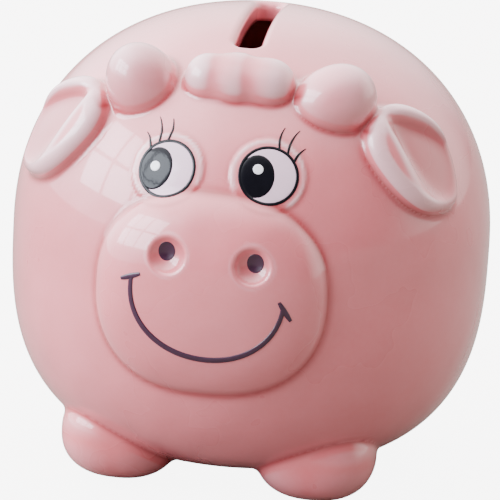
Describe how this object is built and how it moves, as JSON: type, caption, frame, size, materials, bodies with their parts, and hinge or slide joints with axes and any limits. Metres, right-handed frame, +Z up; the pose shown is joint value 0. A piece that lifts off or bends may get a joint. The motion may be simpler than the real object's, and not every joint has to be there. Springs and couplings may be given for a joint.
{
  "type": "figural animal coin bank",
  "caption": "Round glazed ceramic coin bank in the form of a calf, with a coin slot in the crown, stub feet and a rubber stopper in the belly.",
  "frame": {"origin": "on the ground under the middle of the round body, halfway between the muzzle's front and the tail's back", "axes": "+Z up, the face looks along -Y, +X towards the animal's left side"},
  "size_m": [0.096, 0.1057, 0.093],
  "materials": {
    "pink_glaze": "pink glaze over cast earthenware, glossy",
    "foot_glaze": "pink glaze, glossy, wiped bare on the underside",
    "eye_white": "white fired-on transfer, glossy",
    "eye_ink": "near-black fired-on transfer, glossy",
    "plum_ink": "dark plum fired-on line, glossy",
    "stopper_rubber": "soft moulded rubber, matt, greyish white"
  },
  "bodies": {
    "bank": {"body_shell": "pink_glaze", "muzzle": "pink_glaze", "left_horn": "pink_glaze", "right_horn": "pink_glaze", "forelock": "pink_glaze", "left_ear": "pink_glaze", "right_ear": "pink_glaze", "front_left_foot": "foot_glaze", "front_right_foot": "foot_glaze", "rear_left_foot": "foot_glaze", "rear_right_foot": "foot_glaze", "tail": "pink_glaze", "left_eye_white": "eye_white", "right_eye_white": "eye_white", "left_pupil": "eye_ink", "right_pupil": "eye_ink", "left_glint": "eye_white", "right_glint": "eye_white", "left_eye_line": "eye_ink", "right_eye_line": "eye_ink", "left_nostril": "plum_ink", "right_nostril": "plum_ink", "smile": "plum_ink"},
    "stopper": {"stopper": "stopper_rubber"}
  },
  "joints": [
    {"name": "stopper_pull", "type": "slide", "parent": "bank", "child": "stopper", "axis": [0, 0, -1], "range_m": [0, 0.018]}
  ]
}
